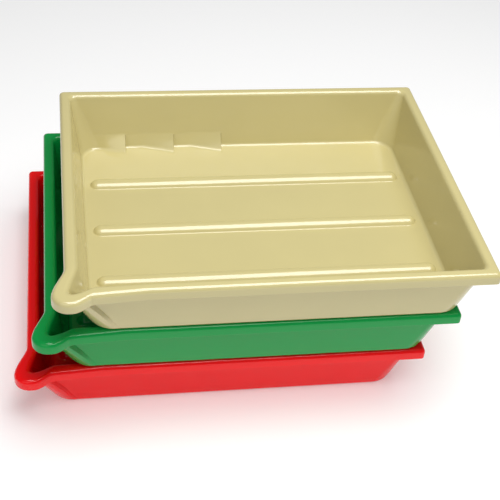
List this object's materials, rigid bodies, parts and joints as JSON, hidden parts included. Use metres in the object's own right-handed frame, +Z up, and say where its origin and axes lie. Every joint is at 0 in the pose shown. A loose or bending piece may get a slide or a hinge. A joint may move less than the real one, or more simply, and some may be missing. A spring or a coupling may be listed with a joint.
{
  "type": "developing tray",
  "caption": "Stacked darkroom developing trays: shallow ribbed basins with sloping walls, a turned-down rim and a pouring lip at one corner.",
  "frame": {"origin": "centre of the set's bounding box, at the underside of the lowest tray", "axes": "+X along the trays' long sides, away from the pouring lips; +Y towards the back, away from the lips; +Z up"},
  "size_m": [0.353, 0.3014, 0.1536],
  "materials": {
    "red_plastic": "glossy moulded red",
    "green_plastic": "glossy moulded green",
    "ivory_plastic": "glossy moulded ivory"
  },
  "bodies": {
    "red_tray": {"red_tray": "red_plastic"},
    "green_tray": {"green_tray": "green_plastic"},
    "ivory_tray": {"ivory_tray": "ivory_plastic"}
  },
  "joints": [
    {"name": "green_tray_lift", "type": "slide", "parent": "red_tray", "child": "green_tray", "axis": [0, 0, 1], "range_m": [0, 0.15]},
    {"name": "ivory_tray_lift", "type": "slide", "parent": "green_tray", "child": "ivory_tray", "axis": [0, 0, 1], "range_m": [0, 0.15]}
  ]
}
